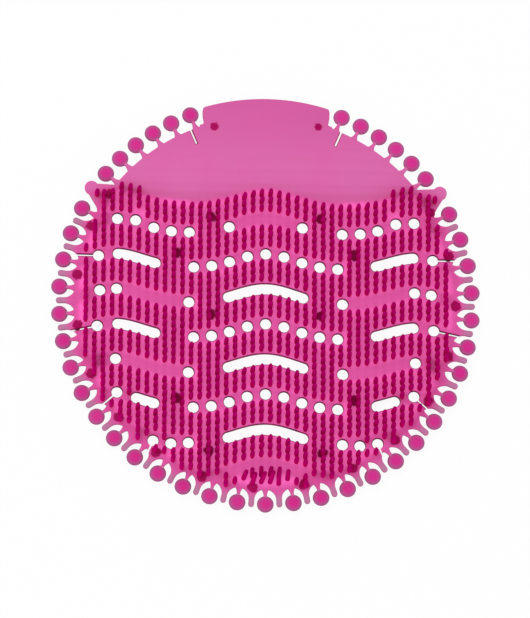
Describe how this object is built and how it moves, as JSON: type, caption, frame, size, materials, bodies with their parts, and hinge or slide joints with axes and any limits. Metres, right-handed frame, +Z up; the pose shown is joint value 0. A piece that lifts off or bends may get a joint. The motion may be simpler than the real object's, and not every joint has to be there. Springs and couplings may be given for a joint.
{
  "type": "urinal deodorizer screen",
  "caption": "Round moulded soft-plastic screen with an edge of tear-off tabs, drain holes, arched slots and upright bristles.",
  "frame": {"origin": "on the surface that the feet stand on, under the middle of the screen's box", "axes": "+Z up through the bristles, +Y towards the plain header, +X to the right seen from the bristle side"},
  "size_m": [0.1902, 0.1884, 0.0108],
  "materials": {
    "soft_plastic": "soft translucent pink vinyl-acetate plastic, satin"
  },
  "bodies": {
    "root": {"screen": "soft_plastic"}
  },
  "joints": []
}
